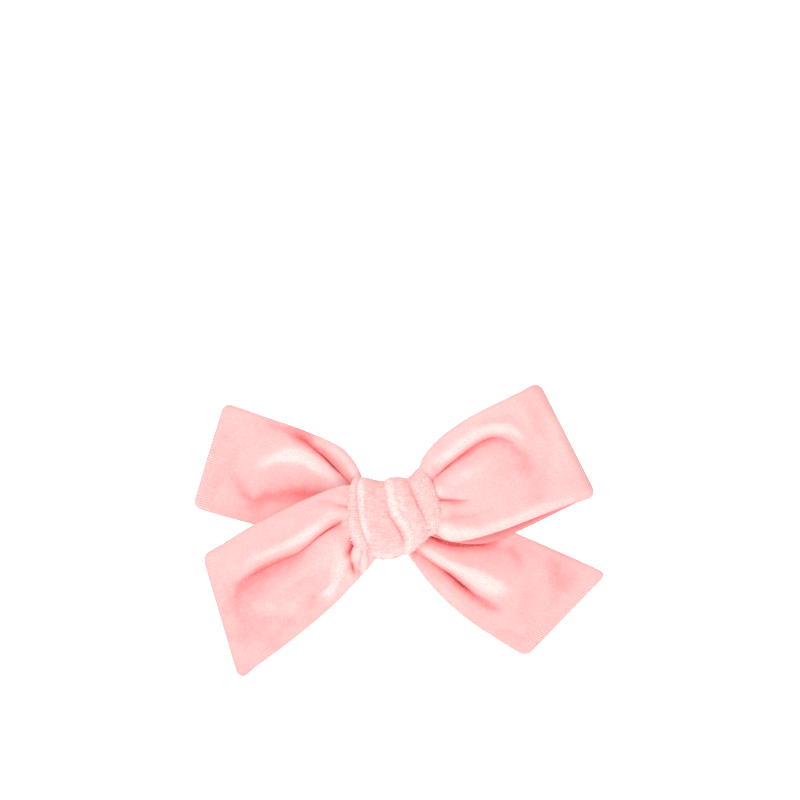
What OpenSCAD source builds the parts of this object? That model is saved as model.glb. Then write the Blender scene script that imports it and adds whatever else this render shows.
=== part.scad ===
// A velvet pinwheel bow on an automatic (French) hair clip.
//
// The bow is one doubled strip of velvet, folded into two loops and two tails, cinched with
// thread at the waist and wrapped with a pleated band. It is glued to a sprung steel clip.
// +X is the wearer's left to right along the clip, +Z is up, and the bow's front faces -Y.
// The origin is the centre of the gap that holds the hair, behind the knot.
// Each free edge of the bow is a cubic curve in the plane of the bow, as [x, z] points.

/* [Clip] */
// Length of the top plate
plate_l = 60; // [59:1:64]
// Width of the top plate
plate_w = 9; // [8.8:0.1:10]
// Thickness of the top plate
plate_t = 0.6; // [0.5:0.1:0.6]
// Radius that plate and arm are bowed to, so that they follow the head
bowed_r = 130; // [125:1:140]
// Clear depth for the hair, between the leaf spring and the clasp arm
hair_gap = 4.8; // [4.6:0.1:5]
// Width of the clasp arm along most of its length
arm_w = 5; // [4.5:0.1:5.4]
// Thickness of the clasp arm
arm_t = 0.8; // [0.7:0.1:0.9]
// Thickness of the leaf spring
leaf_t = 0.4; // [0.3:0.05:0.4]
// Diameter of the hinge pin
pin_d = 1.2; // [1:0.1:1.3]
// Diameter of each sewing hole
sew_d = 1.6; // [1.2:0.1:1.8]
// Distance between the sewing holes along the plate
sew_x = 56; // [55.5:0.1:56.5]
// Distance between the sewing holes across the plate
sew_z = 5; // [4.6:0.1:5]

/* [Knot] */
// Height of the wrapped knot
knot_h = 21.3; // [20.5:0.1:22]
// Depth of the wrapped knot, front to back
knot_d = 14; // [13.8:0.1:14.4]
// Length of the knot along the waist
knot_l = 24; // [23:0.1:24.4]
// Angle that the knot leans by, top to the left
knot_lean = 15; // [14:1:16]
// Thickness of the band round the knot
wrap_t = 1.5; // [1.4:0.05:1.6]

/* [Velvet] */
// Thickness of the doubled strip at the outer ends of loops and tails
strip_t = 1.9; // [1.4:0.1:2.2]
// Thickness of one gathered layer where it enters the knot
gather_t = 3.2; // [2.6:0.1:3.2]
// Radius of the centre line of each loop's outer fold
fold_r = 2.3; // [2.1:0.1:2.4]
// How far the front of each loop bulges forwards
loop_puff = 1.6; // [0.8:0.1:1.7]
// Radius-like trim at the corners of the outer ends
corner_trim = 1.6; // [1:0.1:2]

/* [Hidden] */

$fn = 96;
round_fn = 360;
velvet = [1.0, 0.78, 0.77];
steel = [0.78, 0.79, 0.80];
dark_steel = [0.62, 0.63, 0.65];

// Clip, measured along Y from the middle of the hair gap.
arm_face_y = hair_gap / 2;
leaf_face_y = -hair_gap / 2;
leaf_bow_r = 250;
leaf_half = 18.5;
leaf_clear = 0.05;
plate_in_y = leaf_face_y - leaf_t - sagitta(leaf_half, leaf_bow_r)
    - sagitta(leaf_half, bowed_r) - leaf_clear;
plate_centre_y = plate_in_y + bowed_r;
land_x = 25.3;
land_y = plate_in_y + sagitta(land_x, bowed_r);
lug_w = 3;
lug_t = 0.4;
lug_reach = 0.9;

pin_x = -23.5;
arm_centre_y = arm_face_y + bowed_r;
pin_y = arm_face_y + sagitta(pin_x, bowed_r) + arm_t / 2;
pin_clear = 0.05;
pin_head_r = 0.85;
pin_head_t = 0.3;
ear_t = plate_t;
ear_r = 1.9;
ear_l = 5.2;
knuckle_r = 1.35;
knuckle_gap = 0.15;

catch_x = 22.5;
catch_l = 3.2;
saddle_t = 0.5;
saddle_w = 7;
saddle_x0 = 20.1;
saddle_x1 = 25.2;
stub_y = -1.3;
stub_z = 2;
stub_t = 0.5;
tab_t = 0.5;
tab_gap = 0.06;
rivet_r = 0.9;
rivet_head_r = 1.4;
rivet_head_t = 0.45;

eye_x0 = 20.3;
eye_x1 = 24.7;
eye_half = 2.6;
eye_rim = 1.3;
eye_reach = 26.2;

// One side of the catch as [y, z]: it stands on the saddle, swells into a finger pad,
// narrows to pass the eye of the arm, and ends in a small hook.
tab_path = [
    [stub_y + tab_gap, stub_z], [-1, stub_z], [-0.7, 2.4], [-0.1, 3.6], [0.7, 4.9], [1.5, 5.2],
    [2.3, 4.9], [3.0, 3.4], [3.4, 2.1], [3.9, 1.85], [5.9, 1.85]
];
hook_out_z = 2.48;
hook_y0 = 5.3;
hook_y1 = 6.3;

// Bow, measured along Y.
pad_y = -7;
ribbon_t = 0.4;
ribbon_w = 8;
ribbon_half = 20.4;
glue_half_x = 6;
glue_half_z = 3.6;
knot_r = 6;
knot_y = pad_y - knot_d / 2;
waist_slack = 0.1;
mouth_right = knot_l / 2 + 0.6;
mouth_left = -knot_l / 2 + 0.2;
thread_w = 2.2;
thread_t = 0.45;
stitch_r = 0.3;
stitch_l = 1.6;
stitch_pitch = 3.6;
stitch_z = -5.8;

front_y = -17.6;
rear_y = -14;
tail_y = -10.3;
front_end_y = -17;
tail_end_y = -7.2;
rear_puff = -0.4;
edge_fill = 0.3;
across_steps = 6;
along_steps = 9;
fold_steps = 6;

// Edges as cubic curves: from the knot's mouth to the outer corner.
loop_right = [
    [mouth_point(mouth_right, 9.2), [11, 20], [20, 30], [40.9, 37.2]],
    [mouth_point(mouth_right, -8), [18, -9], [32, -6], [56.4, 5.8]]
];
loop_left = [
    [mouth_point(mouth_left, 9), [-22, 7], [-38, -1], [-53.7, -10.2]],
    [mouth_point(mouth_left, -9), [-16, -24], [-30, -36], [-43.6, -45.4]]
];
tail_left = [
    [mouth_point(mouth_left, 9.2), [-16.5, 13], [-16, 27], [-47.2, 31.8]],
    [mouth_point(mouth_left, -3), [-22, -6], [-38, -4], [-55.9, 2.4]]
];
tail_right = [
    [mouth_point(mouth_right, 4), [20, 4], [34, -3], [59.6, -15.6]],
    [mouth_point(mouth_right, -9.2), [17, -13], [12, -26], [37.2, -39]]
];
rear_drop_right = [0, -3];
rear_drop_left = [0, 0];

// Depth of a circular arc of radius r at x from its middle.
function sagitta(x, r) = r - sqrt(r * r - x * x);

// A point on the slanted face where the velvet leaves the knot, as [x, z].
function mouth_point(along, up) = [
    along * cos(knot_lean) - up * sin(knot_lean),
    along * sin(knot_lean) + up * cos(knot_lean)
];

function cubic(p, s) = pow(1 - s, 3) * p[0] + 3 * s * pow(1 - s, 2) * p[1]
    + 3 * s * s * (1 - s) * p[2] + pow(s, 3) * p[3];

function unit(v) = v / norm(v);

function in_depth(p, y) = [p[0], y, p[1]];

// Left-hand offset of an open path, used to give sheet metal its thickness.
function beside(path, gap) = [
    for (i = [0:len(path) - 1])
        let (a = path[max(i - 1, 0)], b = path[min(i + 1, len(path) - 1)], d = unit(b - a))
        path[i] + gap * [-d[1], d[0]]
];

// One closed section of a strip: top to bottom on one side, and back on the other.
function strip_section(top, bottom, out, t) =
    let (
        share = [for (k = [0:across_steps]) k / across_steps],
        half = [for (v = share) t / 2 * sqrt(1 - (1 - edge_fill * edge_fill) * pow(2 * v - 1, 4))]
    )
    [
        for (k = [0:across_steps]) top + share[k] * (bottom - top) + half[k] * out,
        for (k = [across_steps:-1:0]) top + share[k] * (bottom - top) - half[k] * out
    ];

function leg_t(s) = gather_t + (strip_t - gather_t) * min(1, 2 * s);

function leg_y(y0, y1, puff, s) = y0 + (y1 - y0) * s - puff * 4 * s * (1 - s);

// Edge whose outer corner is moved by "moved" and whose middle sags by "drop".
function eased(edge, moved, drop) = [edge[0], edge[1] + drop, edge[2] + drop, edge[3] + moved];

module strip_solid(sections, flip) {
    ring = 2 * (across_steps + 1);
    last = (len(sections) - 1) * ring;
    sides = [
        for (i = [0:len(sections) - 2], j = [0:ring - 1])
            let (a = i * ring + j, b = i * ring + (j + 1) % ring)
            each [[a, b, b + ring], [a, b + ring, a + ring]]
    ];
    caps = [
        for (k = [0:across_steps - 1])
            let (far = ring - 1 - k)
            each [
                [k + 1, k, far], [k + 1, far, far - 1],
                [last + k, last + k + 1, last + far], [last + k + 1, last + far - 1, last + far]
            ]
    ];
    faces = [for (f = concat(sides, caps)) flip ? [f[2], f[1], f[0]] : f];
    polyhedron(points = [for (s = sections) each s], faces = faces);
}

module tail(edges) {
    end = unit(edges[1][3] - edges[0][3]);
    steps = [for (k = [0:along_steps - 1]) k / along_steps, 0.97, 1];
    sections = [
        for (s = steps)
            let (
                y = leg_y(tail_y, tail_end_y, 0, s),
                trim = s == 1 ? corner_trim : 0,
                top = cubic(edges[0], s) + trim * end,
                bottom = cubic(edges[1], s) - trim * end
            )
            strip_section(in_depth(top, y), in_depth(bottom, y), [0, -1, 0], leg_t(s))
    ];
    strip_solid(sections, edges[0][3][0] < 0);
}

module loop(edges, rear_drop) {
    end = unit(edges[1][3] - edges[0][3]);
    side = sign(edges[0][3][0]);
    out = [-end[1], end[0]] * side;
    back = -fold_r * out;
    front_edges = [for (e = edges) eased(e, back, [0, 0])];
    rear_edges = [for (e = edges) eased(e, back, rear_drop)];
    fold_y = front_end_y + fold_r;
    front = [
        for (k = [0:along_steps - 1])
            let (s = k / along_steps, y = leg_y(front_y, front_end_y, loop_puff, s))
            strip_section(
                in_depth(cubic(front_edges[0], s), y), in_depth(cubic(front_edges[1], s), y),
                [0, -1, 0], leg_t(s)
            )
    ];
    fold = [
        for (k = [0:fold_steps])
            let (
                turn = 180 * k / fold_steps,
                normal = [out[0] * sin(turn), -cos(turn), out[1] * sin(turn)],
                trim = corner_trim * sin(turn),
                centre = [0, fold_y, 0] + fold_r * normal,
                top = in_depth(front_edges[0][3] + trim * end, 0) + centre,
                bottom = in_depth(front_edges[1][3] - trim * end, 0) + centre
            )
            strip_section(top, bottom, normal, strip_t)
    ];
    rear = [
        for (k = [along_steps - 1:-1:0])
            let (s = k / along_steps, y = leg_y(rear_y, front_end_y + 2 * fold_r, rear_puff, s))
            strip_section(
                in_depth(cubic(rear_edges[0], s), y), in_depth(cubic(rear_edges[1], s), y),
                [0, 1, 0], leg_t(s)
            )
    ];
    strip_solid(concat(front, fold, rear), side < 0);
}

// Rectangle with round corners, centred on the origin.
module rounded(w, h, r) {
    square([w - 2 * r, h], center = true);
    square([w, h - 2 * r], center = true);
    for (x = [-1, 1], y = [-1, 1])
        translate([x * (w / 2 - r), y * (h / 2 - r)]) circle(r);
}

// A bowed strip: an arc of thickness t lying outside radius r, cut off at x0 and x1.
module bowed_strip(centre_y, r, t, x0, x1, w) {
    linear_extrude(w, center = true)
        intersection() {
            translate([0, centre_y])
                difference() {
                    circle(r + t, $fn = round_fn);
                    circle(r, $fn = round_fn);
                }
            translate([x0, centre_y - r - t - 1]) square([x1 - x0, r / 4]);
        }
}

// Everything the knot is made of is drawn along X, and then leant with it.
module leant() {
    rotate([0, -knot_lean, 0]) children();
}

module round_the_waist(x0, x1, d, h, r) {
    translate([x0, knot_y, 0])
        rotate([90, 0, 90])
            linear_extrude(x1 - x0) rounded(d, h, r);
}

// Turns what is drawn in the clip's XZ outline so that it stands along Y.
module through_plate(y0, y1) {
    translate([0, y1, 0]) rotate([90, 0, 0]) linear_extrude(y1 - y0) children();
}

module plate_blank() {
    bowed_strip(plate_centre_y, bowed_r, plate_t, -land_x, land_x, plate_w);
    for (side = [-1, 1])
        translate([side * (land_x + plate_l / 2) / 2, land_y - plate_t / 2, 0])
            cube([plate_l / 2 - land_x + 0.02, plate_t, plate_w], center = true);
}

module hinge_ear() {
    linear_extrude(ear_t, center = true) {
        difference() {
            union() {
                translate([pin_x, pin_y]) circle(ear_r);
                translate([pin_x - ear_r, land_y - 0.6]) square([2 * ear_r, pin_y - land_y + 0.6]);
                translate([pin_x - ear_l / 2, land_y - 0.8]) square([ear_l, 2]);
            }
            translate([pin_x, pin_y]) circle(pin_d / 2);
        }
    }
}

// Small bridge that holds one end of the leaf spring down.
module leaf_lug() {
    under_y = leaf_face_y - sagitta(leaf_half - lug_reach, leaf_bow_r) + leaf_clear;
    foot_y = plate_in_y + sagitta(leaf_half, bowed_r) - lug_t;
    post_x = leaf_half + 0.1;
    translate([post_x, foot_y, -lug_w / 2]) cube([lug_t, under_y + lug_t - foot_y, lug_w]);
    translate([leaf_half - lug_reach, under_y, -lug_w / 2])
        cube([lug_reach + lug_t + 0.1, lug_t, lug_w]);
}

module top_plate() {
    color(steel) {
        difference() {
            intersection() {
                plate_blank();
                through_plate(plate_in_y - 4, land_y + 4) rounded(plate_l, plate_w, 1.9);
            }
            for (x = [-1, 1], z = [-1, 1])
                translate([x * sew_x / 2, 0, z * sew_z / 2])
                    rotate([90, 0, 0]) cylinder(d = sew_d, h = 20, center = true);
            rivet_axis() cylinder(r = rivet_r, h = 3, center = true);
        }
        for (z = [-1, 1]) translate([0, 0, z * (plate_w - ear_t) / 2]) hinge_ear();
        for (side = [0, 1]) mirror([side, 0, 0]) leaf_lug();
    }
}

module hinge_pin() {
    color(dark_steel)
        translate([pin_x, pin_y, 0]) {
            cylinder(d = pin_d, h = plate_w + pin_head_t, center = true);
            for (side = [0, 1])
                mirror([0, 0, side])
                    translate([0, 0, plate_w / 2])
                        cylinder(r1 = pin_head_r, r2 = pin_d / 2, h = pin_head_t);
        }
}

// Outline of the clasp arm seen from behind: a straight band that widens round the eye.
module arm_outline() {
    eye_l = eye_reach - eye_x0 + eye_rim;
    eye_w = 2 * (eye_half + eye_rim);
    translate([pin_x, -arm_w / 2]) square([eye_x0 - pin_x, arm_w]);
    difference() {
        translate([eye_reach - eye_l / 2, 0]) rounded(eye_l, eye_w, 1.6);
        translate([eye_x0, -eye_half]) square([eye_x1 - eye_x0, 2 * eye_half]);
    }
}

module clasp_arm() {
    knuckle_l = plate_w - 2 * ear_t - 2 * knuckle_gap;
    color(steel)
        difference() {
            union() {
                intersection() {
                    bowed_strip(arm_centre_y, bowed_r - arm_t, arm_t,
                        pin_x - 1, eye_reach + 1, 2 * (eye_half + eye_rim) + 1);
                    through_plate(arm_face_y - 2, arm_face_y + 8) arm_outline();
                }
                translate([pin_x, pin_y, 0]) cylinder(r = knuckle_r, h = knuckle_l, center = true);
            }
            translate([pin_x, pin_y, 0]) cylinder(d = pin_d + 2 * pin_clear, h = 12, center = true);
        }
}

module leaf_spring() {
    leaf_centre_y = leaf_face_y - leaf_bow_r;
    color(dark_steel)
        linear_extrude(arm_w - 1, center = true)
            intersection() {
                translate([0, leaf_centre_y])
                    difference() {
                        circle(leaf_bow_r, $fn = round_fn);
                        circle(leaf_bow_r - leaf_t, $fn = round_fn);
                    }
                translate([-leaf_half, leaf_face_y - 4]) square([2 * leaf_half, 8]);
            }
}

// Frame of the catch rivet: Z runs along the plate's own normal at the catch.
module rivet_axis() {
    slope = asin(catch_x / bowed_r);
    translate([0, plate_centre_y, 0])
        rotate([0, 0, slope])
            translate([0, -bowed_r, 0]) rotate([90, 0, 0]) children();
}

module catch_saddle() {
    color(steel)
        difference() {
            union() {
                bowed_strip(plate_centre_y, bowed_r - saddle_t, saddle_t,
                    saddle_x0, saddle_x1, saddle_w);
                intersection() {
                    for (z = [-1, 1])
                        translate([catch_x, stub_y - 1, z * stub_z])
                            cube([catch_l, 2, stub_t], center = true);
                    translate([0, plate_centre_y, 0])
                        cylinder(r = bowed_r - saddle_t / 4, h = 20, center = true, $fn = round_fn);
                }
            }
            rivet_axis() cylinder(r = rivet_r, h = 4, center = true);
        }
}

module catch_side() {
    tip_z = tab_path[len(tab_path) - 1][1];
    translate([catch_x - catch_l / 2, 0, 0])
        rotate([90, 0, 90])
            linear_extrude(catch_l) {
                polygon(concat(beside(tab_path, tab_t / 2), [
                    for (i = [len(tab_path) - 1:-1:0]) beside(tab_path, -tab_t / 2)[i]
                ]));
                polygon([
                    [hook_y0, tip_z], [hook_y0, hook_out_z],
                    [hook_y0 + 0.25, hook_out_z], [hook_y1, tip_z]
                ]);
            }
}

module catch_tab_upper() {
    color(steel) catch_side();
}

module catch_tab_lower() {
    color(steel) mirror([0, 0, 1]) catch_side();
}

module catch_rivet() {
    inner_z = saddle_t + 0.01;
    color(dark_steel)
        rivet_axis() {
            translate([0, 0, -inner_z]) cylinder(r = rivet_r, h = inner_z + plate_t);
            translate([0, 0, plate_t]) cylinder(r1 = rivet_head_r, r2 = 1, h = rivet_head_t);
            translate([0, 0, -inner_z - rivet_head_t])
                cylinder(r1 = 1, r2 = rivet_head_r, h = rivet_head_t);
        }
}

module lining_ribbon() {
    color([0.98, 0.86, 0.85])
        bowed_strip(plate_centre_y, bowed_r + plate_t, ribbon_t, -ribbon_half, ribbon_half, ribbon_w);
}

module glue_pad() {
    color([0.95, 0.94, 0.9])
        difference() {
            translate([-glue_half_x, pad_y, -glue_half_z])
                cube([2 * glue_half_x, 3, 2 * glue_half_z]);
            translate([0, plate_centre_y, 0])
                cylinder(r = bowed_r + plate_t + ribbon_t, h = 20, center = true, $fn = round_fn);
        }
}

module knot_wrap() {
    color(velvet)
        leant()
            difference() {
                round_the_waist(mouth_left + 0.2, mouth_right - 0.2, knot_d, knot_h, knot_r);
                round_the_waist(mouth_left - 1, mouth_right + 1,
                    knot_d - 2 * wrap_t, knot_h - 2 * wrap_t, knot_r - wrap_t);
            }
}

module wrap_closing_stitches() {
    color([0.98, 0.72, 0.72])
        leant()
            for (k = [-2:2])
                translate([k * stitch_pitch, pad_y + stitch_r / 3, stitch_z])
                    cylinder(r = stitch_r, h = stitch_l, center = true, $fn = 24);
}

module gathered_waist() {
    d = knot_d - 2 * wrap_t - waist_slack;
    h = knot_h - 2 * wrap_t - waist_slack;
    r = knot_r - wrap_t;
    color(velvet)
        leant()
            difference() {
                round_the_waist(mouth_left, mouth_right, d, h, r);
                difference() {
                    round_the_waist(-thread_w / 2, thread_w / 2, d + 2, h + 2, r);
                    round_the_waist(-thread_w, thread_w, d - 2 * thread_t, h - 2 * thread_t,
                        r - thread_t);
                }
            }
}

module gather_thread() {
    d = knot_d - 2 * wrap_t - waist_slack;
    h = knot_h - 2 * wrap_t - waist_slack;
    r = knot_r - wrap_t;
    color([0.97, 0.75, 0.75])
        leant()
            difference() {
                round_the_waist(-thread_w / 2, thread_w / 2, d, h, r);
                round_the_waist(-thread_w, thread_w, d - 2 * thread_t, h - 2 * thread_t,
                    r - thread_t);
            }
}

module upper_right_loop() {
    color(velvet) loop(loop_right, rear_drop_right);
}

module lower_left_loop() {
    color(velvet) loop(loop_left, rear_drop_left);
}

module upper_left_tail() {
    color(velvet) tail(tail_left);
}

module lower_right_tail() {
    color(velvet) tail(tail_right);
}

top_plate();
hinge_pin();
clasp_arm();
leaf_spring();
catch_saddle();
catch_tab_upper();
catch_tab_lower();
catch_rivet();
lining_ribbon();
glue_pad();
knot_wrap();
wrap_closing_stitches();
gathered_waist();
gather_thread();
upper_right_loop();
lower_left_loop();
upper_left_tail();
lower_right_tail();
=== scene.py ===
"""A pink velvet pinwheel bow on an automatic hair clip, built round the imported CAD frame.

The bow is modelled in millimetres in its own plane, as (x, z) points, with its front towards -Y.
Each loop or tail is a doubled strip: a middle surface of rows from the knot outwards, given
thickness on both sides. Folds are soft valleys and ridges along short lines.
"""

import math

import bmesh
import bpy
import numpy as np
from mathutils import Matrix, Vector


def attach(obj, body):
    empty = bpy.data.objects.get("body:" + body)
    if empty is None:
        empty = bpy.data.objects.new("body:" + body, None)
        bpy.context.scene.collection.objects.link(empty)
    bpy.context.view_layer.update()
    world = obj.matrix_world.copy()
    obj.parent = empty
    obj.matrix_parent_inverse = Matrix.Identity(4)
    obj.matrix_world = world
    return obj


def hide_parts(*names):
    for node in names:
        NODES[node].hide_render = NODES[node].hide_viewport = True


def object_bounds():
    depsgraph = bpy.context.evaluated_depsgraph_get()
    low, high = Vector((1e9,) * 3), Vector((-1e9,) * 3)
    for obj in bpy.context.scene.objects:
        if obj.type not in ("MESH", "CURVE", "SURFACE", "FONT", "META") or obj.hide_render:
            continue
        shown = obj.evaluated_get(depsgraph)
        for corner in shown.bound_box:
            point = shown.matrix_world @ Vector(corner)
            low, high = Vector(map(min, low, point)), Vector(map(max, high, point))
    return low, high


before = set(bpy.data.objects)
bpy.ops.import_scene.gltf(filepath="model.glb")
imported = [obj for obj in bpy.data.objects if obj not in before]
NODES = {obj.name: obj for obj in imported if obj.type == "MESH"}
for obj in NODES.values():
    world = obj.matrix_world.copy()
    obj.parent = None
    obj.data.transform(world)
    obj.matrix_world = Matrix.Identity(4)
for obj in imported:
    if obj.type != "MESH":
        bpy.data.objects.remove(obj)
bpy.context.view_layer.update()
ROOT = "bow_and_plate"
MM = 0.001

# -------- sizes, in millimetres
GRID = 0.45  # step across a strip's mesh
UV_UNIT = 10.0
SEAM_R = 0.95  # distance from its edge at which a strip reaches its full thickness
SEAM_STEPS = np.array([0, 0.03, 0.12, 0.28, 0.5, 0.75])  # shares of that distance where rows stand
CORNER_R = 2.5
FOLD_R = 2.4  # of the turn at a loop's outer end
LOOP_INSET = FOLD_R + 0.9  # so that the turn's outer face ends on the drawn outline
LEG_LENGTH, TAIL_LENGTH, TAIL_CLOTH = 48, 52, 50
LOOP_FRONT_Y, LOOP_REAR_Y, TAIL_Y = -17.4, -13.8, -10.4  # at the knot
LOOP_END_Y, TAIL_END_Y = -17.0, -7.4
FOLD_END = 2.5  # how far a fold reaches past the ends of its line
FOLD_SHARPNESS = 1.6
FINE_REACH, BROAD_REACH = 12, 90  # rounds of blurring that hollows are measured against

LEAN = math.radians(15)  # of the knot's axes, to the left
KNOT_Y = -14.0
WRAP_HALF, WRAP_RISE, WRAP_POWER = 0.85, 10.65, 2.9
WAIST_POWER = 2.8
THREAD_STEP, THREAD_TWIST = 0.14, 1.4
PLATE_CENTRE_Y = 125.141  # the middle of the plate's bow
RIBBON_R, RIBBON_WIDTH, RIB_PITCH = 130.8, 7.9, 0.72
GLUE_FRONT_Y = -7.08

CLOTH = {
    "quality": 6,
    "mass": 0.2,
    "tension_stiffness": 12,
    "compression_stiffness": 12,
    "shear_stiffness": 6,
    "bending_stiffness": 1.5,
    "air_damping": 4,
    "vertex_group_mass": "held",
}


# -------- small maths
def run_along(line):
    """Distance from the start of a line to each of its points."""
    steps = np.linalg.norm(np.diff(line, axis=0), axis=1)
    return np.concatenate([[0], np.cumsum(steps)])


def resampled(values, known, places):
    """Rows of values, which stand at "known", worked out at "places" between them."""
    columns = values.reshape(len(values), -1).T
    rows = np.stack([np.interp(places, known, column) for column in columns], axis=-1)
    return rows.reshape(-1, *values.shape[1:])


def smooth_line(points, count=None, step=None):
    """Points evenly spaced along a smooth curve through the given ones."""
    p = np.array(points, float)
    ends = np.vstack([2 * p[0] - p[1], p, 2 * p[-1] - p[-2]])
    t = np.linspace(0, 1, 24, endpoint=False)[:, None]
    fine = []
    for a, b, c, d in zip(ends, ends[1:], ends[2:], ends[3:]):
        bend, twist = 2 * a - 5 * b + 4 * c - d, 3 * b - a - 3 * c + d
        fine.append(0.5 * (2 * b + (c - a) * t + bend * t**2 + twist * t**3))
    fine = np.vstack([*fine, p[-1:]])
    run = run_along(fine)
    count = count or max(4, int(run[-1] / step) + 1)
    return resampled(fine, run, np.linspace(0, run[-1], count))


def ease(x, low=0.0, high=1.0):
    t = np.clip((x - low) / (high - low), 0, 1)
    return t * t * (3 - 2 * t)


def mix(a, b, t):
    return a + (b - a) * t


def noise(p, size, seed=0, waves=14):
    """Smooth noise from -1 to 1 at points p, with bumps about "size" apart: a sum of sine waves."""
    rng = np.random.default_rng(seed)
    total = np.zeros(p.shape[:-1])
    for _ in range(waves):
        way = rng.normal(size=p.shape[-1])
        way *= 2 * math.pi / (size * rng.uniform(0.8, 1.9)) / np.linalg.norm(way)
        total += np.sin(p @ way + rng.uniform(0, 2 * math.pi))
    return total / math.sqrt(waves)


def blur(grid, rounds):
    """The grid with each point averaged with its neighbours, this many rounds over."""
    out = grid.copy()
    for _ in range(rounds):
        a = np.pad(out, ((1, 1), (0, 0), (0, 0)), mode="edge")
        out = (a[:-2] + 2 * a[1:-1] + a[2:]) / 4
        b = np.pad(out, ((0, 0), (1, 1), (0, 0)), mode="edge")
        out = (b[:, :-2] + 2 * b[:, 1:-1] + b[:, 2:]) / 4
    return out


def turn_angles(count):
    """Angles evenly round a full turn."""
    return np.linspace(0, 2 * math.pi, count, endpoint=False)


def squarish(angle, power):
    """Radius at each angle of a square of half width 1 with rounded corners."""
    return (np.abs(np.cos(angle)) ** power + np.abs(np.sin(angle)) ** power) ** (-1 / power)


def from_edge(share, width):
    """Distance to the nearer edge at each share of the width."""
    return np.minimum(share, 1 - share) * width


# -------- folds
def fold_push(p, points, depth, left, right=None, start=0.15, end=0.35):
    """How far a fold pushes the points p back: a valley (depth > 0) or a ridge (depth < 0).

    It follows a line of (x, z) points. left and right are its widths on either side of the line
    as it runs, and start and end the shares of its length over which it rises and fades.
    """
    line = smooth_line(points, step=0.5)
    gap = p[:, None] - line[None]
    nearest = np.argmin((gap**2).sum(-1), axis=1)
    off = gap[np.arange(len(p)), nearest]
    run = np.gradient(line, axis=0)[nearest]
    run /= np.linalg.norm(run, axis=1)[:, None]
    side = run[:, 0] * off[:, 1] - run[:, 1] * off[:, 0]
    beyond = np.where((nearest == 0) | (nearest == len(line) - 1), (run * off).sum(-1), 0)
    width = np.where(side > 0, left, right or left)
    far = np.sqrt((side / width) ** 2 + (beyond / FOLD_END) ** 2)
    share = nearest / (len(line) - 1)
    rise = ease(share, -0.02, start) if start else 1
    fall = ease(1 - share, -0.02, end) if end else 1
    return depth * np.exp(-(far**FOLD_SHARPNESS)) * rise * fall


def fold_depth(plan, folds):
    """How far the folds push each (x, z) point back, in millimetres."""
    p = plan.reshape(-1, 2)
    return sum(fold_push(p, *fold) for fold in folds).reshape(plan.shape[:-1])


# -------- meshes
def new_object(name, verts, faces, uvs=None, fields=None):
    """A mesh object from millimetres, with its UVs and number fields given per vertex."""
    mesh = bpy.data.meshes.new(name)
    mesh.from_pydata([tuple(v) for v in np.asarray(verts) * MM], [], faces)
    obj = bpy.data.objects.new(name, mesh)
    bpy.context.scene.collection.objects.link(obj)
    if uvs is not None:
        corners = np.empty(len(mesh.loops), int)
        mesh.loops.foreach_get("vertex_index", corners)
        layer = mesh.uv_layers.new(name="strip")
        layer.data.foreach_set("uv", (uvs[corners] / UV_UNIT).ravel())
    for field, values in (fields or {}).items():
        layer = mesh.attributes.new(field, "FLOAT", "POINT")
        layer.data.foreach_set("value", np.asarray(values, float))
    mesh.polygons.foreach_set("use_smooth", [True] * len(mesh.polygons))
    mesh.update()
    return obj


def quads(ids, turn=1):
    """Faces over a grid of vertex numbers, each vertex once; turn=-1 makes them face back."""
    corners = np.stack([ids[:-1, :-1], ids[:-1, 1:], ids[1:, 1:], ids[1:, :-1]], axis=-1)
    return [tuple(dict.fromkeys(face[::turn])) for face in corners.reshape(-1, 4).tolist()]


def grid_normals(grid):
    n = np.cross(np.gradient(grid, axis=0), np.gradient(grid, axis=1))
    return n / np.maximum(np.linalg.norm(n, axis=-1, keepdims=True), 1e-9)


def front_sign(grid):
    """1 if the normals in the middle of the grid's first half point at the viewer, or else -1."""
    return 1 if grid_normals(grid)[len(grid) // 4, grid.shape[1] // 2, 1] < 0 else -1


def seam_rows(length, r=SEAM_R, step=GRID):
    """Shares of a width at which to put rows: close together where the seam turns."""
    near = r * SEAM_STEPS
    inner = np.linspace(r, length - r, max(4, int((length - 2 * r) / step)))
    return np.concatenate([near, inner, length - near[::-1]]) / length


def seam_round(d, r=SEAM_R):
    """Share of the full thickness at distance d from a closed edge."""
    q = np.clip(1 - d / r, 0, 1)
    return np.sqrt(np.maximum(1 - q * q, 0))


def two_sided(name, front, back, faces, uv, fields):
    """An object from the points of a strip's two sides, without those that no face uses.

    fields are numbers per point that the material reads, as name: (front, back).
    """
    used = sorted({i for face in faces for i in face})
    number = {old: new for new, old in enumerate(used)}
    faces = [tuple(number[i] for i in face) for face in faces]
    verts = np.concatenate([front, back]).reshape(-1, 3)[used]
    uvs = np.concatenate([uv, uv]).reshape(-1, 2)[used]
    fields = {key: np.ravel(sides)[used] for key, sides in fields.items()}
    return new_object(name, verts, faces, uvs, fields)


def hollowness(grid, normal):
    """How deep each point lies in a hollow, in millimetres, at a fine and a broad scale."""
    fine = ((blur(grid, FINE_REACH) - grid) * normal).sum(-1)
    broad = ((blur(grid, BROAD_REACH) - grid) * normal).sum(-1)
    return np.clip(fine, -0.25, 1.4), np.clip(broad, -0.9, 2.5)


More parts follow.
